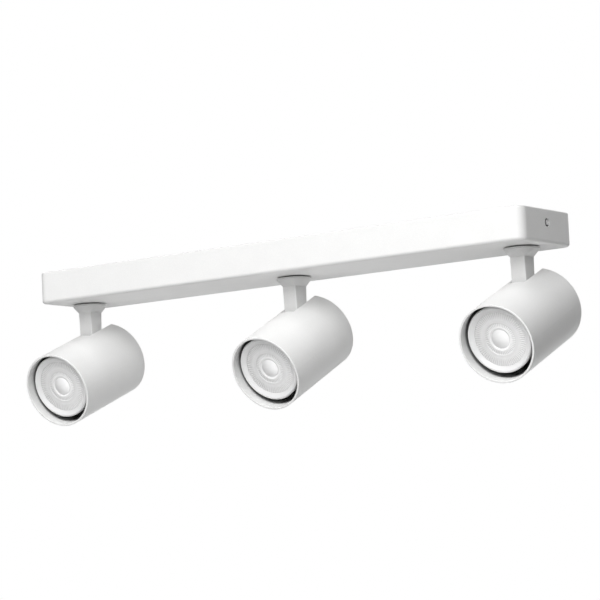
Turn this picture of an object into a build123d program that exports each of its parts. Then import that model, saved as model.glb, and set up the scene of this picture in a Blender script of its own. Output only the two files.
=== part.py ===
from build123d import *
import os
from math import cos, sin, radians

os.makedirs("parts", exist_ok=True)

# ---------------------------------------------------------------------------
# Ceiling spotlight bar with three swivelling GU10 heads, millimetres.
# Origin: centre of the ceiling side of the bar. X along the bar, the lamps
# look towards -Y, +Z up to the ceiling.
# ---------------------------------------------------------------------------

# bar housing, a deep tray that is open towards the ceiling
bar_l, bar_w, bar_h = 455.5, 74.0, 25.2
bar_corner_r, bar_edge_r, bar_rim_r, wall = 8.0, 2.5, 1.0, 1.5
stem_pitch = 204.8
floor_z = -bar_h + wall

# ceiling bracket, a strip with a tab bent down at each end
strip_l, strip_w, strip_t = 451.5, 36.0, 1.5
tab_t, tab_w, tab_h = 2.0, 30.0, 16.0
slot_spacing, slot_len, slot_wid = 240.0, 20.0, 5.2
cable_x, cable_hole_r, cable_bore_r = 60.0, 7.0, 4.5

# set screws that hold the housing to the bracket tabs, with a thinner end
# that stands in the hole of the wall
end_screw_r, end_hole_r, end_screw_z = 2.9, 3.2, -9.9
end_tip_r, end_sink = 2.35, 0.1

# stems
spigot_r, spigot_top = 5.0, -15.5
bush_r, bush_bore_r, bush_flange_r, bush_flange_t = 6.5, 5.05, 9.5, 0.65
flange_r, flange_top, flange_t = 13.4, -26.15, 1.5
flare_h = 5.15
blade_w, blade_top_d, eye_r = 12.4, 14.6, 6.1
pivot_z = -59.4
lead_bore_r, lead_r = 3.2, 0.8
washer_low, washer_t, nut_t, nut_af = -22.6, 1.5, 4.0, 14.0
tongue_w, tongue_tip_r, post_r = 2.0, 11.6, 10.5

# heads: tube radius, wall, length ahead of and behind the pivot,
# height of the pivot above the tube axis
tube_r, tube_wall, tube_front, tube_rear, pivot_rise = 30.0, 1.5, 56.8, 24.4, 19.0
bore_r = tube_r - tube_wall
slot_half, slot_front = 6.55, 7.0
ear_in, ear_out = 7.2, 8.4
cap_notch = 11.1
pivot_r, pivot_hole_r = 2.0, 2.05

# lamp and its holder, on an axis a little above the tube axis
lamp_rise, lamp_recess, lamp_r, lamp_len = 1.2, 5.0, 25.25, 47.5
lamp_face = tube_front - lamp_recess
lamp_base = lamp_face - lamp_len
holder_front, holder_rear = lamp_base - 0.3, -13.6
plate_t = 1.2
pin_pitch, twist = 5.0, 30.0
# bull's-eye in the middle of the lens, a cap of a ball centred on the axis
dome_r, dome_h = 7.3, 1.65
dome_ball = (dome_r**2 + dome_h**2) / (2 * dome_h)
dome_mid = (dome_ball**2 - (dome_r / 2) ** 2) ** 0.5

# side, place along the bar, pan and tilt (degrees below level) as shown
heads = [
    ("left", -stem_pitch, 0.5, 21.2),
    ("centre", 0.0, -2.2, 26.9),
    ("right", stem_pitch, 1.2, 23.3),
]
stem_x = [h[1] for h in heads]

# terminal block and earth post
block_x, block_l, block_w, block_h = 100.0, 30.0, 16.0, 13.0
pole_pitch, tunnel_z, ferrule_y = 10.0, -17.0, -12.0
post_x, post_y, post_top = 126.0, -16.0, -16.7


# ---------------------------------------------------------------------------
# bar
# ---------------------------------------------------------------------------
with BuildPart() as housing:
    with BuildSketch(Plane.XY.offset(-bar_h)):
        RectangleRounded(bar_l, bar_w, bar_corner_r)
    extrude(amount=bar_h)
    fillet(housing.faces().sort_by(Axis.Z)[0].edges(), bar_edge_r)
    fillet(housing.faces().sort_by(Axis.Z)[-1].edges(), bar_rim_r)
    # the hollow keeps the wall even round the bottom edge
    with BuildPart(mode=Mode.PRIVATE) as hollow:
        with BuildSketch(Plane.XY.offset(floor_z)):
            RectangleRounded(bar_l - 2 * wall, bar_w - 2 * wall, bar_corner_r - wall)
        extrude(amount=bar_h)
        fillet(hollow.faces().sort_by(Axis.Z)[0].edges(), bar_edge_r - wall)
    add(hollow.part, mode=Mode.SUBTRACT)
    # seats of the stem bushes
    with BuildSketch(Plane.XY.offset(-bar_h - 1)):
        with Locations(*[(x, 0) for x in stem_x]):
            Circle(bush_r)
    extrude(amount=wall + 2, mode=Mode.SUBTRACT)
    # set screw holes in both end walls
    with BuildSketch(Plane.YZ.offset(-bar_l / 2 - 1)):
        with Locations((0, end_screw_z)):
            Circle(end_hole_r)
    extrude(amount=bar_l + 2, mode=Mode.SUBTRACT)
    # posts that stop the stems turning
    with BuildSketch(Plane.XY.offset(floor_z)):
        with Locations(*[(x, post_r) for x in stem_x]):
            Rectangle(tongue_w, 2.5)
    extrude(amount=3.1)
housing.part.label = "bar_housing"
export_step(housing.part, "parts/bar_housing.step")

with BuildPart() as bracket:
    # side profile of the bent strip, then its plan openings
    with BuildSketch(Plane.XZ.offset(-tab_w / 2)):
        Rectangle(strip_l, tab_h, align=(Align.CENTER, Align.MAX))
        with Locations((0, -strip_t)):
            Rectangle(strip_l - 2 * tab_t, tab_h, align=(Align.CENTER, Align.MAX), mode=Mode.SUBTRACT)
    extrude(amount=tab_w)
    fillet(bracket.edges().filter_by(Axis.Y).group_by(Axis.Z)[-1], 1.5)
    # the strip is a little wider than the tabs
    with BuildSketch(Plane.XY.offset(-strip_t)):
        RectangleRounded(strip_l - 40, strip_w, 3)
    extrude(amount=strip_t)
    with BuildSketch(Plane.XY.offset(-strip_t - 1)):
        with Locations((-slot_spacing / 2, 0), (slot_spacing / 2, 0)):
            SlotOverall(slot_len, slot_wid)
        with Locations((cable_x, 0)):
            Circle(cable_hole_r)
    extrude(amount=strip_t + 2, mode=Mode.SUBTRACT)
    with BuildSketch(Plane.YZ.offset(-strip_l / 2 - 1)):
        with Locations((0, end_screw_z)):
            Circle(end_screw_r)
    extrude(amount=strip_l + 2, mode=Mode.SUBTRACT)
    # corners of the tabs
    fillet(bracket.edges().filter_by(Axis.X).group_by(Axis.Z)[0], 4)
bracket.part.label = "ceiling_bracket"
export_step(bracket.part, "parts/ceiling_bracket.step")

# set screws with a hexagon socket, one facing out at each end
with BuildPart() as end_screws:
    for side in (-1, 1):
        outer = Plane(origin=(side * (bar_l / 2 - end_sink), 0, end_screw_z), x_dir=(0, 1, 0), z_dir=(side, 0, 0))
        shoulder = end_sink - (bar_l - strip_l) / 2
        with BuildSketch(outer.offset(shoulder)):
            Circle(end_screw_r)
        extrude(amount=-6)
        with BuildSketch(outer.offset(shoulder)):
            Circle(end_tip_r)
        extrude(amount=-shoulder - 0.35)
        with BuildSketch(outer.offset(-0.35)):
            Circle(end_tip_r)
        with BuildSketch(outer):
            Circle(end_tip_r - 0.35)
        loft()
        with BuildSketch(outer):
            RegularPolygon(1.05, 6)
        extrude(amount=-1.6, mode=Mode.SUBTRACT)
end_screws.part.label = "end_screws"
export_step(end_screws.part, "parts/end_screws.step")

# rubber bush in the cable hole, its collar under the strip
with BuildPart() as grommet:
    with BuildSketch(Plane(origin=(cable_x, 0, 0), x_dir=(1, 0, 0), z_dir=(0, -1, 0))):
        with BuildLine():
            Polyline(
                (cable_bore_r, 0), (cable_hole_r, 0), (cable_hole_r, -strip_t), (9.2, -strip_t),
                (9.2, -3.0), (8.6, -3.6), (cable_bore_r, -3.6), close=True,
            )
        make_face()
    revolve(axis=Axis((cable_x, 0, 0), (0, 0, 1)))
grommet.part.label = "cable_grommet"
export_step(grommet.part, "parts/cable_grommet.step")

# three-pole terminal block on the floor of the tray
poles = [block_x - pole_pitch, block_x, block_x + pole_pitch]
screw_y = 4.2
block_top = floor_z + block_h
with BuildPart() as block:
    with BuildSketch(Plane.XY.offset(floor_z)):
        with Locations((block_x, 0)):
            RectangleRounded(block_l, block_w, 1.0)
    extrude(amount=block_h)
    with BuildSketch(Plane.XY.offset(block_top - 3.5)):
        with Locations((block_x - pole_pitch / 2, 0), (block_x + pole_pitch / 2, 0)):
            Rectangle(1.6, block_w + 2)
    extrude(amount=5, mode=Mode.SUBTRACT)
    with BuildSketch(Plane.XZ.offset(-block_w / 2 - 1)):
        with Locations(*[(x, tunnel_z) for x in poles]):
            Circle(2.6)
    extrude(amount=block_w + 2, mode=Mode.SUBTRACT)
    with BuildSketch(Plane.XY.offset(tunnel_z)):
        with Locations(*[(x, y) for x in poles for y in (-screw_y, screw_y)]):
            Circle(2.0)
    extrude(amount=10, mode=Mode.SUBTRACT)
block.part.label = "terminal_block"
export_step(block.part, "parts/terminal_block.step")

# brass tunnels, each closed at the lamp side by the ferrule of its leads
with BuildPart() as inserts:
    with BuildSketch(Plane.XZ.offset(-7)):
        with Locations(*[(x, tunnel_z) for x in poles]):
            Circle(2.6)
    extrude(amount=14)
    with BuildSketch(Plane.XZ.offset(7)):
        with Locations(*[(x, tunnel_z) for x in poles]):
            Circle(2.2)
    extrude(amount=-ferrule_y - 7)
    with BuildSketch(Plane.XZ.offset(-8)):
        with Locations(*[(x, tunnel_z) for x in poles]):
            Circle(1.7)
    extrude(amount=14, mode=Mode.SUBTRACT)
    with BuildSketch(Plane.XY.offset(tunnel_z)):
        with Locations(*[(x, y) for x in poles for y in (-screw_y, screw_y)]):
            Circle(1.5)
    extrude(amount=4, mode=Mode.SUBTRACT)
inserts.part.label = "terminal_inserts"
export_step(inserts.part, "parts/terminal_inserts.step")

with BuildPart() as block_screws:
    with BuildSketch(Plane.XY.offset(tunnel_z + 1.8)):
        with Locations(*[(x, y) for x in poles for y in (-screw_y, screw_y)]):
            Circle(1.5)
    extrude(amount=1.7)
    with BuildSketch(Plane.XY.offset(tunnel_z + 3.5)):
        with Locations(*[(x, y) for x in poles for y in (-screw_y, screw_y)]):
            Circle(1.9)
    extrude(amount=1.8)
    with BuildSketch(Plane.XY.offset(tunnel_z + 4.4)):
        with Locations(*[(x, y) for x in poles for y in (-screw_y, screw_y)]):
            Rectangle(0.6, 5)
    extrude(amount=2, mode=Mode.SUBTRACT)
block_screws.part.label = "terminal_screws"
export_step(block_screws.part, "parts/terminal_screws.step")

# pillar terminal that earths the housing
with BuildPart() as earth:
    with BuildSketch(Plane.XY.offset(floor_z)):
        with Locations((post_x, post_y)):
            Circle(3.0)
    extrude(amount=post_top - floor_z)
    with BuildSketch(Plane.XY.offset(post_top - 1.2)):
        with Locations((post_x, post_y)):
            Rectangle(0.8, 8)
    extrude(amount=3, mode=Mode.SUBTRACT)
    with BuildSketch(Plane.YZ.offset(post_x - 4)):
        with Locations((post_y, -20.8)):
            Circle(0.95)
    extrude(amount=4, mode=Mode.SUBTRACT)
earth.part.label = "earth_post"
export_step(earth.part, "parts/earth_post.step")

# flanged plain bushes in the floor of the tray
with BuildPart() as bushes:
    with BuildSketch(Plane.XY.offset(-bar_h - bush_flange_t)):
        with Locations(*[(x, 0) for x in stem_x]):
            Circle(bush_flange_r)
    extrude(amount=bush_flange_t)
    with BuildSketch(Plane.XY.offset(-bar_h)):
        with Locations(*[(x, 0) for x in stem_x]):
            Circle(bush_r)
    extrude(amount=wall + 0.8)
    with BuildSketch(Plane.XY.offset(-bar_h - 1)):
        with Locations(*[(x, 0) for x in stem_x]):
            Circle(bush_bore_r)
    extrude(amount=5, mode=Mode.SUBTRACT)
bushes.part.label = "stem_bushes"
export_step(bushes.part, "parts/stem_bushes.step")

# leads in the tray: out of the ferrules, along the front channel and down
# into the hollow spigots
live_x, neutral_x = poles[0], poles[2]
xl, xc, xr = stem_x
live_routes = [
    ([(live_x - 1, ferrule_y, -17.6), (live_x - 1, -20, -17.6), (-160, -20, -17.6), (-180, -12, -6.5),
      (xl, 1.4, -6.5), (xl, 1.4, -17.5)], [3.5, 20, 20, 4.5]),
    ([(live_x, ferrule_y, -15.9), (live_x, -17, -15.9), (40, -17, -13), (22, -9.5, -6.5),
      (xc, 1.4, -6.5), (xc, 1.4, -17.5)], [2.2, 20, 20, 4.5]),
    ([(live_x + 1, ferrule_y, -17.6), (live_x + 1, -17, -17.6), (99, -20.5, -21.2), (165, -20.5, -21.2),
      (183, -12, -6.5), (xr, 1.4, -6.5), (xr, 1.4, -17.5)], [2.5, 6, 12, 12, 4.5]),
]
neutral_routes = [
    ([(neutral_x - 1, ferrule_y, -17.6), (neutral_x - 1, -27, -17.6), (-160, -27, -17.6), (-180, -17, -6.5),
      (xl, -1.4, -6.5), (xl, -1.4, -17.5)], [5, 20, 20, 4.5]),
    ([(neutral_x, ferrule_y, -15.9), (neutral_x, -23.5, -15.9), (40, -23.5, -13), (22, -15, -6.5),
      (xc, -1.4, -6.5), (xc, -1.4, -17.5)], [4, 20, 20, 4.5]),
    ([(neutral_x + 1, ferrule_y, -17.6), (neutral_x + 1, -27, -17.6), (165, -27, -17.6), (183, -16.5, -6.5),
      (xr, -1.4, -6.5), (xr, -1.4, -17.5)], [5, 18, 18, 4.5]),
]
earth_route = ([(block_x, ferrule_y, -17), (block_x, post_y, -17), (block_x, post_y, -20.8),
                (post_x - 1.5, post_y, -20.8)], [1.7, 1.7])

with BuildPart() as live_leads:
    for points, bends in live_routes:
        with BuildLine() as route:
            FilletPolyline(*points, radius=bends)
        with BuildSketch(Plane(origin=route.line @ 0, z_dir=route.line % 0)):
            Circle(lead_r)
        sweep(path=route.line)
live_leads.part.label = "live_leads"
export_step(live_leads.part, "parts/live_leads.step")

with BuildPart() as neutral_leads:
    for points, bends in neutral_routes:
        with BuildLine() as route:
            FilletPolyline(*points, radius=bends)
        with BuildSketch(Plane(origin=route.line @ 0, z_dir=route.line % 0)):
            Circle(lead_r)
        sweep(path=route.line)
neutral_leads.part.label = "neutral_leads"
export_step(neutral_leads.part, "parts/neutral_leads.step")

with BuildPart() as earth_lead:
    with BuildLine() as route:
        FilletPolyline(*earth_route[0], radius=earth_route[1])
    with BuildSketch(Plane(origin=route.line @ 0, z_dir=route.line % 0)):
        Circle(lead_r)
    sweep(path=route.line)
earth_lead.part.label = "earth_lead"
export_step(earth_lead.part, "parts/earth_lead.step")


# ---------------------------------------------------------------------------
# the three stems, heads and lamps
# ---------------------------------------------------------------------------
flare_top = flange_top - flange_t
flare_low = flare_top - flare_h

for side, x0, pan, tilt in heads:
    p, t = radians(pan), radians(tilt)
    across = Vector(cos(p), sin(p), 0)
    ahead = Vector(sin(p) * cos(t), -cos(p) * cos(t), -sin(t))
    rise = ahead.cross(across)
    pivot = Vector(x0, 0, pivot_z)

    # stem frame: X across the blade, Y to its back, Z up the stem
    stem_base = Plane(origin=(x0, 0, 0), x_dir=across, z_dir=(0, 0, 1))
    stem_back = Plane(origin=(x0, 0, 0), x_dir=across, z_dir=-stem_base.y_dir)
    stem_side = Plane(origin=pivot, x_dir=stem_base.y_dir, z_dir=across)
    # head frames: along the tube (X across, Y up, Z ahead), on the pivot
    # (X back, Y up, Z across) and down onto the top of the tube
    tube_axis = Plane(origin=pivot - rise * pivot_rise, x_dir=across, z_dir=ahead)
    pivot_axis = Plane(origin=pivot, x_dir=-ahead, z_dir=across)
    tube_top = Plane(origin=pivot - rise * pivot_rise, x_dir=across, z_dir=rise)
    lamp_axis = Plane(origin=pivot - rise * (pivot_rise - lamp_rise), x_dir=across, z_dir=ahead)
    lamp_half = Plane(origin=lamp_axis.origin, x_dir=across, z_dir=-rise)

    # --- stem: spigot, round flange flaring into a flat blade with an eye
    with BuildPart() as stem:
        with BuildSketch(stem_base.offset(flare_top)):
            Circle(flange_r)
        extrude(amount=flange_t)
        fillet(stem.edges().filter_by(GeomType.CIRCLE).sort_by(Axis.Z)[-1], 0.4)
        with BuildSketch(stem_base.offset(flare_top)):
            RectangleRounded(2 * flange_r - 0.1, 2 * flange_r - 0.1, flange_r - 0.1)
        with BuildSketch(stem_base.offset(flare_low)):
            RectangleRounded(blade_w, blade_top_d, 0.8)
        loft()
        with BuildSketch(stem_base.offset(flare_low)):
            RectangleRounded(blade_w, blade_top_d, 0.8)
        with BuildSketch(stem_base.offset(pivot_z)):
            RectangleRounded(blade_w, 2 * eye_r, 0.8)
        loft()
        with BuildSketch(stem_side.offset(-blade_w / 2)):
            Circle(eye_r)
        extrude(amount=blade_w)
        with BuildSketch(stem_base.offset(flange_top)):
            Circle(spigot_r)
        extrude(amount=spigot_top - flange_top)
        # cross hole of the pivot
        with BuildSketch(stem_side.offset(-blade_w)):
            Circle(pivot_hole_r)
        extrude(amount=2 * blade_w, mode=Mode.SUBTRACT)
        # way of the leads, down the middle and out at the back of the blade
        with BuildSketch(stem_base.offset(pivot_z + 3.6)):
            Circle(lead_bore_r)
        extrude(amount=60, mode=Mode.SUBTRACT)
        with BuildSketch(stem_back):
            with Locations((0, pivot_z + 6.1)):
                RectangleRounded(4.4, 5.0, 1.0)
        extrude(amount=-12, mode=Mode.SUBTRACT)
    stem.part.label = f"{side}_stem"
    export_step(stem.part, f"parts/{side}_stem.step")

    # washer with the tongue that meets the post in the tray
    with BuildPart() as washer:
        with BuildSketch(stem_base.offset(washer_low)):
            Circle(8.5)
            with Locations((0, -(tongue_tip_r + 6) / 2)):
                Rectangle(tongue_w, tongue_tip_r - 6)
            Circle(spigot_r, mode=Mode.SUBTRACT)
        extrude(amount=washer_t)
    washer.part.label = f"{side}_stop_washer"
    export_step(washer.part, f"parts/{side}_stop_washer.step")

    with BuildPart() as nut:
        with BuildSketch(stem_base.offset(washer_low + washer_t)):
            RegularPolygon(nut_af / 2, 6, major_radius=False)
            Circle(spigot_r, mode=Mode.SUBTRACT)
        extrude(amount=nut_t)
        chamfer(nut.faces().sort_by(Axis.Z)[-1].outer_wire().edges(), 0.6)
    nut.part.label = f"{side}_stem_nut"
    export_step(nut.part, f"parts/{side}_stem_nut.step")

    with BuildPart() as stem_leads:
        for y, drop, bend in ((1.4, 7.3, 2.2), (-1.4, 4.9, 2.6)):
            start = stem_base.from_local_coords(Vector(0, y, -17.8))
            corner = stem_base.from_local_coords(Vector(0, y, pivot_z + drop))
            end = stem_base.from_local_coords(Vector(0, 5.6, pivot_z + drop))
            with BuildLine() as route:
                FilletPolyline(start, corner, end, radius=bend)
            with BuildSketch(Plane(origin=route.line @ 0, z_dir=route.line % 0)):
                Circle(lead_r)
            sweep(path=route.line)
    stem_leads.part.label = f"{side}_stem_leads"
    export_step(stem_leads.part, f"parts/{side}_stem_leads.step")

    # --- head: tube with a slot in its top, open at the back
    with BuildPart() as tube:
        with BuildSketch(tube_axis.offset(-tube_rear)):
            Circle(tube_r)
        extrude(amount=tube_rear + tube_front)
        fillet(tube.edges().filter_by(GeomType.CIRCLE).sort_by(lambda e: (e.center() - pivot).dot(ahead))[0], 0.7)
        with BuildSketch(tube_axis.offset(-tube_rear)):
            Circle(bore_r)
        extrude(amount=tube_rear + tube_front, mode=Mode.SUBTRACT)
        fillet(
            tube.edges().filter_by(GeomType.CIRCLE).group_by(lambda e: round((e.center() - pivot).dot(ahead), 3))[-1],
            0.35,
        )
        with BuildSketch(tube_top.offset(20)):
            with Locations((0, -slot_front)):
                Rectangle(2 * slot_half, slot_front + tube_rear + 2, align=(Align.CENTER, Align.MIN))
            with Locations((0, tube_rear - 1.5)):
                Rectangle(2 * slot_half + 3, 4, align=(Align.CENTER, Align.MIN))
            with Locations((-slot_half - 1.5, tube_rear - 1.5), (slot_half + 1.5, tube_rear - 1.5)):
                Circle(1.5, mode=Mode.SUBTRACT)
        extrude(amount=15, mode=Mode.SUBTRACT)
    tube.part.label = f"{side}_tube"
    export_step(tube.part, f"parts/{side}_tube.step")

    with BuildPart() as cap:
        with BuildSketch(tube_axis.offset(-tube_rear + 0.6)):
            Circle(bore_r)
            with Locations((0, cap_notch)):
                RectangleRounded(2 * slot_half + 0.7, 60, 2.0, align=(Align.CENTER, Align.MIN), mode=Mode.SUBTRACT)
        extrude(amount=1.8)
    cap.part.label = f"{side}_rear_cap"
    export_step(cap.part, f"parts/{side}_rear_cap.step")

    # bent carrier: two ears for the pivot, a plate behind the lamp holder
    with BuildPart() as carrier:
        with BuildSketch(pivot_axis.offset(-ear_out)):
            with BuildLine():
                Polyline(
                    (14.8, -8), (14.8, -3), (7, 6.5), (5, 12), (-12, 12), (-12, 4), (-4, -4.5), (-4, -8), close=True,
                )
            make_face()
        extrude(amount=2 * ear_out)
        with BuildSketch(pivot_axis.offset(-ear_in)):
            with Locations((0, 0)):
                Rectangle(60, 60)
        extrude(amount=2 * ear_in, mode=Mode.SUBTRACT)
        with BuildSketch(tube_axis.offset(-20)):
            Circle(bore_r)
        extrude(amount=40, mode=Mode.INTERSECT)
        with BuildSketch(tube_axis.offset(holder_rear - plate_t)):
            with Locations((0, 1.3)):
                RectangleRounded(27, 20.6, 3)
            with Locations((-9.2, 9), (9.2, 9)):
                Rectangle(4, 10)
            with Locations((-5, lamp_rise), (5, lamp_rise)):
                Circle(1.6, mode=Mode.SUBTRACT)
            with Locations((-10.8, lamp_rise), (10.8, lamp_rise)):
                Circle(1.5, mode=Mode.SUBTRACT)
        extrude(amount=plate_t)
        with BuildSketch(pivot_axis.offset(-ear_out - 1)):
            Circle(pivot_r)
        extrude(amount=2 * ear_out + 2, mode=Mode.SUBTRACT)
    carrier.part.label = f"{side}_lamp_carrier"
    export_step(carrier.part, f"parts/{side}_lamp_carrier.step")

    with BuildPart() as pivot_screw:
        with BuildSketch(pivot_axis.offset(-ear_out)):
            Circle(pivot_r)
        extrude(amount=2 * ear_out + 2)
        with BuildSketch(pivot_axis.offset(-ear_out)):
            Circle(3.5)
        extrude(amount=-2.4)
        with BuildSketch(pivot_axis.offset(-ear_out - 2.4)):
            Rectangle(4.2, 0.9)
            Rectangle(0.9, 4.2)
        extrude(amount=1.3, mode=Mode.SUBTRACT)
    pivot_screw.part.label = f"{side}_pivot_screw"
    export_step(pivot_screw.part, f"parts/{side}_pivot_screw.step")

    with BuildPart() as friction:
        for start in (-ear_in, ear_in - 0.7):
            with BuildSketch(pivot_axis.offset(start)):
                Circle(5.0)
                Circle(pivot_r, mode=Mode.SUBTRACT)
            extrude(amount=0.7)
    friction.part.label = f"{side}_friction_washers"
    export_step(friction.part, f"parts/{side}_friction_washers.step")

    # ceramic holder with two keyhole tracks for the lamp's pins
    with BuildPart() as holder:
        with BuildSketch(lamp_axis.offset(holder_rear)):
            RectangleRounded(28, 18, 4)
        extrude(amount=holder_front - holder_rear)
        for turn in (0, 180):
            with BuildSketch(lamp_axis.offset(holder_front - 3)):
                with BuildLine(mode=Mode.PRIVATE) as track:
                    CenterArc((0, 0), pin_pitch, turn, twist)
                SlotArc(track.edge(), 3.7)
                with PolarLocations(pin_pitch, 1, turn + twist):
                    Circle(2.75)
            extrude(amount=4, mode=Mode.SUBTRACT)
            with BuildSketch(lamp_axis.offset(holder_front - 8.2)):
                with BuildLine(mode=Mode.PRIVATE) as track:
                    CenterArc((0, 0), pin_pitch, turn, twist)
                SlotArc(track.edge(), 5.8)
            extrude(amount=5.2, mode=Mode.SUBTRACT)
        with BuildSketch(lamp_axis.offset(holder_rear - 1)):
            with Locations((-5, 0), (5, 0)):
                Circle(1.0)
            with Locations((-10.8, 0), (10.8, 0)):
                Circle(1.5)
        extrude(amount=8, mode=Mode.SUBTRACT)
    holder.part.label = f"{side}_lampholder"
    export_step(holder.part, f"parts/{side}_lampholder.step")

    with BuildPart() as holder_screws:
        with BuildSketch(lamp_axis.offset(holder_rear - plate_t)):
            with Locations((-10.8, 0), (10.8, 0)):
                Circle(1.5)
        extrude(amount=7)
        with BuildSketch(lamp_axis.offset(holder_rear - plate_t)):
            with Locations((-10.8, 0), (10.8, 0)):
                Circle(2.75)
        extrude(amount=-1.9)
        with BuildSketch(lamp_axis.offset(holder_rear - plate_t - 1.9)):
            with Locations((-10.8, 0), (10.8, 0)):
                Rectangle(3.4, 0.8)
                Rectangle(0.8, 3.4)
        extrude(amount=1.1, mode=Mode.SUBTRACT)
    holder_screws.part.label = f"{side}_lampholder_screws"
    export_step(holder_screws.part, f"parts/{side}_lampholder_screws.step")

    with BuildPart() as head_leads:
        for x in (-5, 5):
            points = [
                lamp_axis.from_local_coords(Vector(x, 0, -10.0)),
                lamp_axis.from_local_coords(Vector(x, 0, -18.9)),
                lamp_axis.from_local_coords(Vector(x, 9.0, -18.9)),
            ]
            with BuildLine() as route:
                FilletPolyline(*points, radius=3.8)
            with BuildSketch(Plane(origin=route.line @ 0, z_dir=route.line % 0)):
                Circle(lead_r)
            sweep(path=route.line)
    head_leads.part.label = f"{side}_head_leads"
    export_step(head_leads.part, f"parts/{side}_head_leads.step")

    # --- lamp: shell with a sunk white rim, lens, board and two pins
    # profiles are (radius, distance ahead of the pivot)
    f, b = lamp_face, lamp_base
    spin = Axis(lamp_axis.origin, ahead)
    with BuildPart() as shell:
        with BuildSketch(lamp_half):
            with BuildLine():
                Polyline(
                    (0, b), (11.0, b), (11.5, b + 0.5), (11.5, b + 10), (12.5, b + 11), (23.4, f - 6.5),
                    (24.9, f - 5.6), (lamp_r, f - 5.0), (lamp_r, f - 0.8), (lamp_r - 0.8, f), (23.6, f),
                    (20.6, f - 2.0), (20.6, f - 3.6), (19.6, f - 3.6), (13.2, f - 21), (0, f - 21), close=True,
                )
            make_face()
        revolve(axis=spin)
    shell.part.label = f"{side}_lamp_body"
    export_step(shell.part, f"parts/{side}_lamp_body.step")

    with BuildPart() as lens:
        with BuildSketch(lamp_half):
            with BuildLine():
                l1 = Polyline(
                    (0, f - 16), (3.8, f - 16), (9.4, f - 3.6), (20.55, f - 3.6), (20.55, f - 2.05), (12.0, f - 2.3),
                    (11.4, f - 1.3), (8.2, f - 1.3), (dome_r, f - 0.75 - dome_h),
                )
                l2 = ThreePointArc(l1 @ 1, (dome_r / 2, f - 0.75 - dome_ball + dome_mid), (0, f - 0.75))
                Line(l2 @ 1, l1 @ 0)
            make_face()
        revolve(axis=spin)
    lens.part.label = f"{side}_lamp_lens"
    export_step(lens.part, f"parts/{side}_lamp_lens.step")

    with BuildPart() as board:
        with BuildSketch(lamp_axis.offset(f - 21)):
            Circle(12.6)
        extrude(amount=1.6)
        with BuildSketch(lamp_axis.offset(f - 19.4)):
            RectangleRounded(6.5, 6.5, 0.6)
        extrude(amount=1.0)
    board.part.label = f"{side}_lamp_board"
    export_step(board.part, f"parts/{side}_lamp_board.step")

    with BuildPart() as pins:
        with BuildSketch(lamp_axis.offset(b)):
            with Locations((-pin_pitch, 0), (pin_pitch, 0)):
                Circle(1.55)
        extrude(amount=-5)
        with BuildSketch(lamp_axis.offset(b - 4.3)):
            with Locations((-pin_pitch, 0), (pin_pitch, 0)):
                Circle(2.4)
        extrude(amount=-3)
        chamfer(pins.edges().filter_by(GeomType.CIRCLE).sort_by(lambda e: (e.center() - pivot).dot(ahead))[0:2], 0.5)
    pins.part.label = f"{side}_lamp_pins"
    export_step(pins.part, f"parts/{side}_lamp_pins.step")
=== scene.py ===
from math import cos, sin, pi, radians, sqrt

import bpy
from mathutils import Matrix, Vector


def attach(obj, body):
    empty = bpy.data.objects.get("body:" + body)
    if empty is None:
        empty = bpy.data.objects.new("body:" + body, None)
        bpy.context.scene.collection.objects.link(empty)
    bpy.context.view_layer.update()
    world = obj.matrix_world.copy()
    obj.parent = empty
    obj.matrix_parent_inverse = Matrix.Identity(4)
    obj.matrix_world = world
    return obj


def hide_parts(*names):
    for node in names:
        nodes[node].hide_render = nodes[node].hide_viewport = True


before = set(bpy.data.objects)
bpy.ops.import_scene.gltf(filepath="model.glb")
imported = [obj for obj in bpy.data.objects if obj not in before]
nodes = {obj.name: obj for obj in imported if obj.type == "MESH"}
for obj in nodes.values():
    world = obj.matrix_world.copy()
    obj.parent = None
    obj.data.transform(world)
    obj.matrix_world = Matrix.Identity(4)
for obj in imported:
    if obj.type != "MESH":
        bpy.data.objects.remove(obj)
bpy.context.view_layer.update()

scene = bpy.context.scene

MM = 0.001

# places of the heads, as in the CAD: side, x of the stem, pan, tilt below level
HEADS = [("left", -204.8, 0.5, 21.2), ("centre", 0.0, -2.2, 26.9), ("right", 204.8, 1.2, 23.3)]
PIVOT_Z, PIVOT_RISE, LAMP_RISE = -59.4, 19.0, 1.2
TUBE_FRONT, TUBE_REAR, LAMP_RECESS = 56.8, 24.4, 5.0
LAMP_FACE = TUBE_FRONT - LAMP_RECESS


def head_axes(x0, pan, tilt):
    """Across, up and ahead of a head, and its pivot (metres)."""
    p, t = radians(pan), radians(tilt)
    across = Vector((cos(p), sin(p), 0.0))
    ahead = Vector((sin(p) * cos(t), -cos(p) * cos(t), -sin(t)))
    up = ahead.cross(across)
    return across, up, ahead, Vector((x0, 0.0, PIVOT_Z)) * MM


def local_matrix(across, up, ahead, origin):
    return Matrix((
        (across.x, up.x, ahead.x, origin.x),
        (across.y, up.y, ahead.y, origin.y),
        (across.z, up.z, ahead.z, origin.z),
        (0.0, 0.0, 0.0, 1.0),
    ))


# ---------------------------------------------------------------------------
# materials
# ---------------------------------------------------------------------------
def new_material(name):
    mat = bpy.data.materials.new(name)
    mat.use_nodes = True
    tree = mat.node_tree
    shader = tree.nodes["Principled BSDF"]
    return mat, tree, shader


def node(tree, kind, **values):
    n = tree.nodes.new(kind)
    for key, value in values.items():
        if key.startswith("in_"):
            n.inputs[key[3:].replace("_", " ")].default_value = value
        else:
            setattr(n, key, value)
    return n


def ramp(tree, source, stops):
    r = tree.nodes.new("ShaderNodeValToRGB")
    e = r.color_ramp.elements
    while len(e) < len(stops):
        e.new(0.5)
    for item, (pos, col) in zip(e, stops):
        item.position = pos
        item.color = (*col, 1.0) if len(col) == 3 else col
    tree.links.new(source, r.inputs["Fac"])
    return r.outputs["Color"]


def grey(v):
    return (v, v, v)


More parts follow.
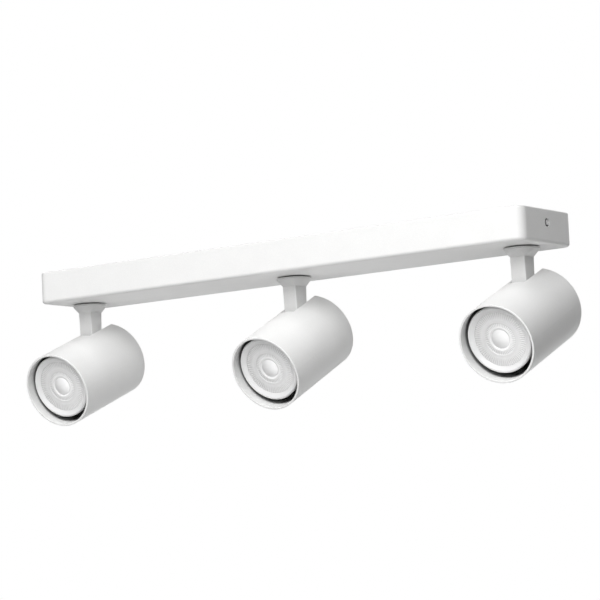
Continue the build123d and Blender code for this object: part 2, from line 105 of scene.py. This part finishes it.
def coords(tree):
    return tree.nodes.new("ShaderNodeTexCoord").outputs["Object"]


def noise(tree, vector, scale, detail=2.0, rough=0.5, distortion=0.0):
    n = node(tree, "ShaderNodeTexNoise", in_Scale=scale, in_Detail=detail, in_Roughness=rough, in_Distortion=distortion)
    tree.links.new(vector, n.inputs["Vector"])
    return n.outputs["Fac"]


def bump(tree, height, strength, distance, normal=None):
    b = node(tree, "ShaderNodeBump", in_Strength=strength, in_Distance=distance)
    tree.links.new(height, b.inputs["Height"])
    if normal is not None:
        tree.links.new(normal, b.inputs["Normal"])
    return b.outputs["Normal"]


def powder_coat(name, tint=(0.8, 0.8, 0.795), painted_bore_shade=None):
    """Matte white powder coat: a fine grain over a soft orange peel.
    The last argument, (matrix to the tube's own axes, mouth, depth), darkens the coat to dark grey deep in the bore:
    painted shade where the bore runs on past the lamp's rim."""
    mat, tree, sh = new_material(name)
    v = coords(tree)
    blotch = noise(tree, v, 45.0, 3.0, 0.55)
    grain = noise(tree, v, 1900.0, 2.0, 0.6)
    peel = noise(tree, v, 520.0, 1.0, 0.4)
    lo = tuple(c * 0.988 for c in tint)
    hi = tuple(min(1.0, c * 1.008) for c in tint)
    paint = ramp(tree, blotch, [(0.35, lo), (0.65, hi)])
    fleck = ramp(tree, grain, [(0.32, grey(0.955)), (0.6, grey(1.0))])
    mixed = node(tree, "ShaderNodeMix", data_type="RGBA", blend_type="MULTIPLY")
    mixed.inputs["Factor"].default_value = 1.0
    tree.links.new(paint, mixed.inputs["A"])
    tree.links.new(fleck, mixed.inputs["B"])
    colour = mixed.outputs["Result"]
    rough = ramp(tree, grain, [(0.3, grey(0.62)), (0.7, grey(0.5))])
    if painted_bore_shade is not None:
        matrix, mouth, fade = painted_bore_shade
        inv = matrix.inverted()
        sep = tree.nodes.new("ShaderNodeSeparateXYZ")
        # rows of the inverse give the tube's own coordinates
        local = []
        for row in range(3):
            d = node(tree, "ShaderNodeVectorMath", operation="DOT_PRODUCT")
            tree.links.new(v, d.inputs[0])
            d.inputs[1].default_value = tuple(inv[row][:3])
            a = node(tree, "ShaderNodeMath", operation="ADD")
            tree.links.new(d.outputs["Value"], a.inputs[0])
            a.inputs[1].default_value = inv[row][3]
            local.append(a.outputs["Value"])
        tree.nodes.remove(sep)
        sq = []
        for comp in local[:2]:
            m = node(tree, "ShaderNodeMath", operation="MULTIPLY")
            tree.links.new(comp, m.inputs[0])
            tree.links.new(comp, m.inputs[1])
            sq.append(m.outputs["Value"])
        r2 = node(tree, "ShaderNodeMath", operation="ADD")
        tree.links.new(sq[0], r2.inputs[0])
        tree.links.new(sq[1], r2.inputs[1])
        in_bore = node(tree, "ShaderNodeMath", operation="LESS_THAN")
        tree.links.new(r2.outputs["Value"], in_bore.inputs[0])
        in_bore.inputs[1].default_value = (29.0 * MM) ** 2
        depth = node(tree, "ShaderNodeMapRange")
        depth.inputs["From Min"].default_value = mouth - fade[0]
        depth.inputs["From Max"].default_value = mouth - fade[1]
        tree.links.new(local[2], depth.inputs["Value"])
        # painted shade: inside the bore the coat is mixed towards dark grey, more so the deeper it lies behind the
        # mouth
        painted_shade_mask = node(tree, "ShaderNodeMath", operation="MULTIPLY")
        tree.links.new(in_bore.outputs["Value"], painted_shade_mask.inputs[0])
        tree.links.new(depth.outputs["Result"], painted_shade_mask.inputs[1])
        dark = node(tree, "ShaderNodeMix", data_type="RGBA")
        tree.links.new(painted_shade_mask.outputs["Value"], dark.inputs["Factor"])
        tree.links.new(colour, dark.inputs["A"])
        dark.inputs["B"].default_value = (0.2, 0.2, 0.202, 1.0)
        colour = dark.outputs["Result"]
    tree.links.new(colour, sh.inputs["Base Color"])
    tree.links.new(rough, sh.inputs["Roughness"])
    sh.inputs["Specular IOR Level"].default_value = 0.4
    n1 = bump(tree, peel, 0.12, 0.00012)
    n2 = bump(tree, grain, 0.22, 0.00005, n1)
    tree.links.new(n2, sh.inputs["Normal"])
    return mat


def zinc(name, tint=(0.56, 0.57, 0.58), scale=260.0):
    """Bright zinc plate: fine rolled streaks and a faint yellow cast in patches."""
    mat, tree, sh = new_material(name)
    v = coords(tree)
    stretch = node(tree, "ShaderNodeMapping", vector_type="POINT")
    stretch.inputs["Scale"].default_value = (0.06, 1.0, 1.0)
    tree.links.new(v, stretch.inputs["Vector"])
    streak = noise(tree, stretch.outputs["Vector"], scale * 6, 3.0, 0.6)
    patch = noise(tree, v, 70.0, 3.0, 0.6)
    lo = (tint[0] * 0.86, tint[1] * 0.85, tint[2] * 0.82)
    colour = ramp(tree, patch, [(0.3, lo), (0.7, tint)])
    rough = ramp(tree, streak, [(0.3, grey(0.26)), (0.75, grey(0.42))])
    tree.links.new(colour, sh.inputs["Base Color"])
    tree.links.new(rough, sh.inputs["Roughness"])
    sh.inputs["Metallic"].default_value = 1.0
    tree.links.new(bump(tree, streak, 0.08, 0.00004), sh.inputs["Normal"])
    return mat


def brass(name):
    mat, tree, sh = new_material(name)
    v = coords(tree)
    turned = noise(tree, v, 900.0, 2.0, 0.5)
    stain = noise(tree, v, 160.0, 3.0, 0.6)
    colour = ramp(tree, stain, [(0.3, (0.5, 0.34, 0.11)), (0.7, (0.72, 0.54, 0.22))])
    rough = ramp(tree, turned, [(0.3, grey(0.24)), (0.7, grey(0.4))])
    tree.links.new(colour, sh.inputs["Base Color"])
    tree.links.new(rough, sh.inputs["Roughness"])
    sh.inputs["Metallic"].default_value = 1.0
    tree.links.new(bump(tree, turned, 0.06, 0.00003), sh.inputs["Normal"])
    return mat


def moulded(name, lo, hi, rough_lo, rough_hi, spark=900.0, strength=0.12, specular=0.45):
    """Moulded plastic, rubber or ceramic: eroded-mould grain and a slow colour drift."""
    mat, tree, sh = new_material(name)
    v = coords(tree)
    drift = noise(tree, v, 60.0, 3.0, 0.55)
    grain = noise(tree, v, spark, 2.0, 0.55)
    tree.links.new(ramp(tree, drift, [(0.32, lo), (0.68, hi)]), sh.inputs["Base Color"])
    tree.links.new(ramp(tree, grain, [(0.3, grey(rough_lo)), (0.7, grey(rough_hi))]), sh.inputs["Roughness"])
    sh.inputs["Specular IOR Level"].default_value = specular
    tree.links.new(bump(tree, grain, strength, 0.00005), sh.inputs["Normal"])
    return mat


def striped_sleeve(name, a, b):
    """Two-colour lead insulation, the stripe along the lead's side."""
    mat, tree, sh = new_material(name)
    v = coords(tree)
    wave = node(tree, "ShaderNodeTexWave", wave_type="BANDS", bands_direction="DIAGONAL", in_Scale=420.0, in_Distortion=0.6)
    tree.links.new(v, wave.inputs["Vector"])
    fine = noise(tree, v, 1500.0)
    tree.links.new(ramp(tree, wave.outputs["Fac"], [(0.46, a), (0.54, b)]), sh.inputs["Base Color"])
    tree.links.new(ramp(tree, fine, [(0.3, grey(0.4)), (0.7, grey(0.55))]), sh.inputs["Roughness"])
    tree.links.new(bump(tree, fine, 0.06, 0.00003), sh.inputs["Normal"])
    return mat


def optic(name, rough_lo, rough_hi, clear):
    """Moulded optic with a slightly milky body; its base colour is a value of each vertex, which holds painted light,
    painted shade and a painted highlight.
    """
    mat, tree, sh = new_material(name)
    v = coords(tree)
    haze = noise(tree, v, 300.0, 2.0, 0.5)
    # painted light: the per-vertex value sets how light the optic's colour is
    painted_light = node(tree, "ShaderNodeAttribute", attribute_type="GEOMETRY", attribute_name="painted_light")
    body = ramp(tree, painted_light.outputs["Fac"], [(0.0, grey(0.0)), (1.0, grey(1.0))])
    cloud = ramp(tree, haze, [(0.35, grey(0.97)), (0.65, grey(1.0))])
    mixed = node(tree, "ShaderNodeMix", data_type="RGBA", blend_type="MULTIPLY")
    mixed.inputs["Factor"].default_value = 1.0
    tree.links.new(body, mixed.inputs["A"])
    tree.links.new(cloud, mixed.inputs["B"])
    tree.links.new(mixed.outputs["Result"], sh.inputs["Base Color"])
    tree.links.new(ramp(tree, haze, [(0.3, grey(rough_lo)), (0.7, grey(rough_hi))]), sh.inputs["Roughness"])
    sh.inputs["IOR"].default_value = 1.49
    sh.inputs["Transmission Weight"].default_value = clear
    tree.links.new(bump(tree, haze, 0.02, 0.0001), sh.inputs["Normal"])
    return mat


white = powder_coat("powder_coat_white")
# painted shade: the bar's and the stems' copies of the one white coat are set darker than the tubes'
bar_white_shaded = powder_coat("powder_coat_bar_shaded", (0.772, 0.772, 0.767))
stem_white_shaded = powder_coat("powder_coat_stem_shaded", (0.72, 0.72, 0.716))
zinc_mat = zinc("zinc_plate")
nickel_mat = zinc("nickel_plate", (0.62, 0.6, 0.56), 400.0)
brass_mat = brass("brass_turned")
rubber = moulded("rubber_black", (0.014, 0.014, 0.014), (0.024, 0.024, 0.024), 0.6, 0.8, 1400.0, 0.2, 0.3)
# the near black of this nylon is partly the bushes' own colour and partly painted shade, so the thin gap under each
# stem's flange reads as shadow
nylon_dark_gap_shade = moulded("nylon_dark_gap_shade", (0.035, 0.035, 0.037), (0.055, 0.055, 0.058), 0.45, 0.6)
block_plastic = moulded("polyamide_natural", (0.74, 0.71, 0.62), (0.82, 0.79, 0.71), 0.38, 0.52)
ceramic = moulded("steatite", (0.74, 0.7, 0.61), (0.83, 0.79, 0.71), 0.6, 0.78, 1600.0, 0.3, 0.35)
brown = moulded("sleeve_brown", (0.14, 0.05, 0.02), (0.2, 0.075, 0.03), 0.38, 0.5, 1500.0, 0.08)
blue = moulded("sleeve_blue", (0.02, 0.075, 0.33), (0.03, 0.11, 0.43), 0.38, 0.5, 1500.0, 0.08)
earth = striped_sleeve("sleeve_green_yellow", (0.07, 0.3, 0.04), (0.72, 0.6, 0.05))
sleeve = moulded("sleeve_glass_fibre", (0.7, 0.68, 0.61), (0.8, 0.78, 0.72), 0.55, 0.75, 2600.0, 0.35, 0.3)
lamp_white = moulded("lamp_shell_white", (0.735, 0.735, 0.735), (0.765, 0.765, 0.765), 0.3, 0.4, 700.0, 0.05)
board_mat = moulded("solder_mask_white", (0.72, 0.72, 0.7), (0.82, 0.82, 0.8), 0.35, 0.5)
lens_mat = optic("lamp_optic", 0.14, 0.2, 0.04)


def set_screw(name, height, rim):
    """Satin face; split by the distance from the screws' common axis along X, near black past rim: painted shadow of
    the gap round each screw in its hole.
    """
    mat, tree, sh = new_material(name)
    v = coords(tree)
    flat = node(tree, "ShaderNodeVectorMath", operation="MULTIPLY_ADD")
    tree.links.new(v, flat.inputs[0])
    flat.inputs[1].default_value = (0.0, 1.0, 1.0)
    flat.inputs[2].default_value = (0.0, 0.0, -height)
    far = node(tree, "ShaderNodeVectorMath", operation="LENGTH")
    tree.links.new(flat.outputs["Vector"], far.inputs[0])
    side = node(tree, "ShaderNodeMapRange")
    side.inputs["From Min"].default_value = rim - 0.1 * MM
    side.inputs["From Max"].default_value = rim + 0.1 * MM
    tree.links.new(far.outputs["Value"], side.inputs["Value"])
    grain = noise(tree, v, 1500.0, 2.0, 0.55)
    face = ramp(tree, grain, [(0.3, grey(0.7)), (0.7, grey(0.78))])
    # painted shadow: near black beyond rim from the axis, where the gap round the screw lies in shade
    painted_gap_shade = node(tree, "ShaderNodeMix", data_type="RGBA")
    tree.links.new(side.outputs["Result"], painted_gap_shade.inputs["Factor"])
    tree.links.new(face, painted_gap_shade.inputs["A"])
    painted_gap_shade.inputs["B"].default_value = (0.03, 0.03, 0.032, 1.0)
    tree.links.new(painted_gap_shade.outputs["Result"], sh.inputs["Base Color"])
    tree.links.new(ramp(tree, grain, [(0.3, grey(0.32)), (0.7, grey(0.45))]), sh.inputs["Roughness"])
    return mat


screw_mat = set_screw("nickel_satin", -9.9 * MM, 1.9 * MM)


def paint_node(name, mat):
    mesh = nodes[name].data
    mesh.materials.clear()
    mesh.materials.append(mat)


plain = {
    "bar_housing": bar_white_shaded, "ceiling_bracket": zinc_mat, "end_screws": screw_mat, "cable_grommet": rubber,
    "terminal_block": block_plastic, "terminal_inserts": brass_mat, "terminal_screws": zinc_mat,
    "earth_post": brass_mat, "stem_bushes": nylon_dark_gap_shade, "live_leads": brown, "neutral_leads": blue,
    "earth_lead": earth,
}
per_head = {
    "stem": stem_white_shaded, "stop_washer": zinc_mat, "stem_nut": zinc_mat, "stem_leads": sleeve, "rear_cap": white,
    "lamp_carrier": zinc_mat, "pivot_screw": zinc_mat, "friction_washers": nylon_dark_gap_shade, "lampholder": ceramic,
    "lampholder_screws": zinc_mat, "head_leads": sleeve, "lamp_body": lamp_white, "lamp_lens": lamp_white,
    "lamp_board": board_mat, "lamp_pins": nickel_mat,
}
for name, mat in plain.items():
    paint_node(name, mat)
for side, x0, pan, tilt in HEADS:
    for name, mat in per_head.items():
        paint_node(f"{side}_{name}", mat)
    across, up, ahead, pivot = head_axes(x0, pan, tilt)
    axis_matrix = local_matrix(across, up, ahead, pivot - up * PIVOT_RISE * MM)
    # painted shade: each tube's coat darkens between 6.6 and 8.8 mm behind its mouth
    paint_node(
        f"{side}_tube",
        powder_coat(f"powder_coat_{side}_tube", painted_bore_shade=(axis_matrix, TUBE_FRONT * MM, (6.6 * MM, 8.8 * MM))),
    )


# ---------------------------------------------------------------------------
# lamp optics: ribbed lens with a ring and a bull's-eye, in place of the plain one
# ---------------------------------------------------------------------------
def smooth(a, b, x):
    t = max(0.0, min(1.0, (x - a) / (b - a)))
    return t * t * (3 - 2 * t)


def lens_height(r, ang):
    """Height (mm) of the lens face over its flat, at radius r and angle."""
    ball, top = 13.0, 1.3
    if r <= 6.9:
        return top - ball + sqrt(ball * ball - r * r)
    foot = top - ball + sqrt(ball * ball - 6.9 * 6.9)
    if r <= 7.3:
        return foot
    if r <= 8.6:
        return foot + (0.1 - foot) * smooth(7.3, 8.6, r)
    if r <= 11.9:
        s = (r - 8.6) / 3.3
        ribs = 0.5 - 0.5 * cos(48 * ang)
        return 0.1 - 0.5 * s - 0.22 * ribs * sin(pi * s)
    if r <= 12.4:
        return -0.4 + 0.4 * smooth(11.9, 12.4, r)
    if r <= 14.8:
        return -0.1 * sin(pi * (r - 12.4) / 2.4)
    if r <= 20.1:
        s = (r - 14.8) / 5.3
        return -0.26 * (0.5 - 0.5 * cos(72 * ang)) * min(1.0, 2 * s, 6 * (1 - s) + 0.15)
    return 0.0


def lens_painted_light(r, ang):
    """Base colour of the optic, 0 to 1, painted light throughout: lighter towards the lamp's right and darker towards
    its left, the bull's-eye and ring lighter as a painted highlight, the groove round the bull's-eye and the grooves
    between the ribs darker as painted shade.
    """
    # painted light: the further to the lamp's right, the lighter
    painted_side_light = r * cos(ang)
    if r <= 6.9:
        return min(0.98, 0.85 + 0.17 * painted_side_light / 6.9)
    if r <= 7.3:
        return 0.72 + 0.06 * painted_side_light / 7.0
    if r <= 11.9:
        s = (r - 7.3) / 4.6
        # painted shade in the grooves between the ring's ribs
        rib = 0.5 - 0.5 * cos(48 * ang)
        return min(0.98, 0.9 - 0.05 * s + 0.08 * painted_side_light / 12.0) * (1.0 - 0.26 * rib * smooth(9.0, 9.8, r))
    field = 0.75 + 0.06 * painted_side_light / 20.0
    if r <= 14.0:
        return field
    # painted shade in the grooves between the outer ribs
    rib = 0.5 - 0.5 * cos(72 * ang)
    return field * (1.05 - 0.2 * rib * smooth(14.0, 18.0, r))


def make_lens(side, x0, pan, tilt):
    across, up, ahead, pivot = head_axes(x0, pan, tilt)
    origin = pivot - up * (PIVOT_RISE - LAMP_RISE) * MM
    seg = 576
    flat = LAMP_FACE - 2.2
    rings = [0.7, 1.5, 2.3, 3.1, 3.9, 4.6, 5.2, 5.8, 6.3, 6.7, 6.9, 7.1, 7.3, 7.6, 7.9, 8.2, 8.4, 8.6, 8.9, 9.4, 10.0, 10.6, 11.2,
             11.6, 11.9, 12.05, 12.25, 12.4, 13.2, 14.0, 14.8, 15.6, 16.3, 16.6, 17.0, 17.5, 17.8, 18.6, 19.3, 19.6, 20.0,
             20.1, 20.3, 20.5]
    back = [(20.5, flat - 1.4), (12.0, flat - 1.4), (9.4, flat - 1.5), (3.8, LAMP_FACE - 16.0)]
    verts, faces = [], []
    verts.append((0.0, 0.0, flat + lens_height(0.0, 0.0)))
    for r in rings:
        for k in range(seg):
            a = 2 * pi * k / seg
            verts.append((r * cos(a), r * sin(a), flat + lens_height(r, a)))
    for r, z in back:
        for k in range(seg):
            a = 2 * pi * k / seg
            verts.append((r * cos(a), r * sin(a), z))
    verts.append((0.0, 0.0, LAMP_FACE - 16.0))
    for k in range(seg):
        faces.append((0, 1 + k, 1 + (k + 1) % seg))
    rows = len(rings) + len(back)
    for i in range(rows - 1):
        for k in range(seg):
            a, b = 1 + i * seg + k, 1 + i * seg + (k + 1) % seg
            faces.append((a, a + seg, b + seg, b))
    last = 1 + (rows - 1) * seg
    end = len(verts) - 1
    for k in range(seg):
        faces.append((end, last + (k + 1) % seg, last + k))
    world = [origin + (across * x + up * y + ahead * z) * MM for x, y, z in verts]
    mesh = bpy.data.meshes.new(f"{side}_optic")
    mesh.from_pydata([tuple(w) for w in world], [], faces)
    mesh.polygons.foreach_set("use_smooth", [True] * len(mesh.polygons))
    mesh.update()
    mesh.materials.append(lens_mat)
    # painted light and shade of each vertex, stored with the optic
    painted_light_values = [lens_painted_light(0.0, 0.0)]
    painted_light_values += [lens_painted_light(r, 2 * pi * k / seg) for r in rings for k in range(seg)]
    painted_light_values += [0.75] * (len(verts) - len(painted_light_values))
    mesh.attributes.new("painted_light", "FLOAT", "POINT").data.foreach_set("value", painted_light_values)
    obj = bpy.data.objects.new(f"{side}_optic", mesh)
    scene.collection.objects.link(obj)
    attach(obj, f"{side}_lamp")
    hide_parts(f"{side}_lamp_lens")
    return obj


for side, x0, pan, tilt in HEADS:
    make_lens(side, x0, pan, tilt)


# ---------------------------------------------------------------------------
# camera, from the fit to the outlines
# ---------------------------------------------------------------------------
az, el, roll = radians(35.15), radians(-6.31), radians(-2.81)
dist, target = 2.19698, Vector((4.52, 0.0, -43.6)) * MM
back = Vector((sin(az) * cos(el), -cos(az) * cos(el), sin(el)))
right = Vector((cos(az), sin(az), 0.0))
upv = back.cross(right)
cx = right * cos(roll) + upv * sin(roll)
cy = -right * sin(roll) + upv * cos(roll)
eye = target + back * dist
cam_data = bpy.data.cameras.new("camera")
cam_data.sensor_fit = "HORIZONTAL"
cam_data.sensor_width = 36.0
cam_data.lens = 170.794
cam_data.clip_start = 0.05
cam_data.clip_end = 50.0
cam = bpy.data.objects.new("camera", cam_data)
scene.collection.objects.link(cam)
cam.matrix_world = local_matrix(cx, cy, back, eye)
scene.camera = cam


# ---------------------------------------------------------------------------
# floor, world and soft lights
# ---------------------------------------------------------------------------
def plane(name, half, z, mat):
    mesh = bpy.data.meshes.new(name)
    mesh.from_pydata([(-half, -half, z), (half, -half, z), (half, half, z), (-half, half, z)], [], [(0, 1, 2, 3)])
    mesh.materials.append(mat)
    obj = bpy.data.objects.new(name, mesh)
    scene.collection.objects.link(obj)
    return obj


# pale floor, far below the hanging bar and evenly bright
floor_mat, ft, fsh = new_material("floor_pale")
ft.links.new(ramp(ft, noise(ft, coords(ft), 0.4, 2.0), [(0.3, grey(0.98)), (0.7, grey(1.0))]), fsh.inputs["Emission Color"])
fsh.inputs["Base Color"].default_value = (0.0, 0.0, 0.0, 1.0)
fsh.inputs["Specular IOR Level"].default_value = 0.0
fsh.inputs["Emission Strength"].default_value = 0.74
plane("floor", 60.0, -2.7, floor_mat)

# white reflector sheet under the bar, out of the picture
sheet_mat, st, ssh = new_material("reflector_white")
st.links.new(ramp(st, noise(st, coords(st), 3.0, 3.0), [(0.3, grey(0.8)), (0.7, grey(0.84))]), ssh.inputs["Base Color"])
ssh.inputs["Roughness"].default_value = 0.9
sheet = plane("reflector", 8.0, -0.75, sheet_mat)
sheet.visible_camera = False

world = bpy.data.worlds.new("studio")
scene.world = world
world.use_nodes = True
wt = world.node_tree
wt.nodes.clear()
out = wt.nodes.new("ShaderNodeOutputWorld")
seen = wt.nodes.new("ShaderNodeBackground")
seen.inputs["Color"].default_value = (1.0, 1.0, 1.0, 1.0)
seen.inputs["Strength"].default_value = 1.0
gloss = wt.nodes.new("ShaderNodeBackground")
gloss.inputs["Color"].default_value = (1.0, 1.0, 1.0, 1.0)
gloss.inputs["Strength"].default_value = 0.45
fill = wt.nodes.new("ShaderNodeBackground")
fill.inputs["Color"].default_value = (1.0, 1.0, 1.0, 1.0)
fill.inputs["Strength"].default_value = 0.01
# pale studio walls: bright behind the object, softer in reflections, dim as light
path = wt.nodes.new("ShaderNodeLightPath")
mixg = wt.nodes.new("ShaderNodeMixShader")
wt.links.new(path.outputs["Is Glossy Ray"], mixg.inputs["Fac"])
wt.links.new(fill.outputs["Background"], mixg.inputs[1])
wt.links.new(gloss.outputs["Background"], mixg.inputs[2])
mixw = wt.nodes.new("ShaderNodeMixShader")
wt.links.new(path.outputs["Is Camera Ray"], mixw.inputs["Fac"])
wt.links.new(mixg.outputs["Shader"], mixw.inputs[1])
wt.links.new(seen.outputs["Background"], mixw.inputs[2])
wt.links.new(mixw.outputs["Shader"], out.inputs["Surface"])


def area(name, place, aim, size, power):
    data = bpy.data.lights.new(name, "AREA")
    data.shape = "RECTANGLE"
    data.size, data.size_y = size
    data.energy = power
    obj = bpy.data.objects.new(name, data)
    scene.collection.objects.link(obj)
    direction = (Vector(aim) - Vector(place)).normalized()
    obj.rotation_euler = direction.to_track_quat("-Z", "Y").to_euler()
    obj.location = place
    obj.visible_camera = False
    return obj


# name, bearing from the front (to the right), height (degrees), distance, size, power
CENTRE = Vector((0.0, 0.0, -0.06))
LIGHTS = [
    ("front_right", 25.0, 25.0, 1.9, 1.1, 34.2),
    ("front_top", 0.0, 62.0, 1.9, 1.1, 15.1),
    ("front_left", -40.0, 8.0, 1.9, 1.1, 3.9),
    ("back", 180.0, 12.0, 1.9, 1.1, 10.6),
    ("back_low", 180.0, -20.0, 1.3, 0.5, 1.6),
    ("back_left_low", -140.0, -12.0, 1.5, 0.7, 2.0),
]
for name, bearing, height, reach, size, power in LIGHTS:
    a, e = radians(bearing), radians(height)
    place = CENTRE + Vector((sin(a) * cos(e), -cos(a) * cos(e), sin(e))) * reach
    area(name, place, CENTRE, (size, size), power)

scene.view_settings.view_transform = "Standard"
scene.view_settings.look = "None"
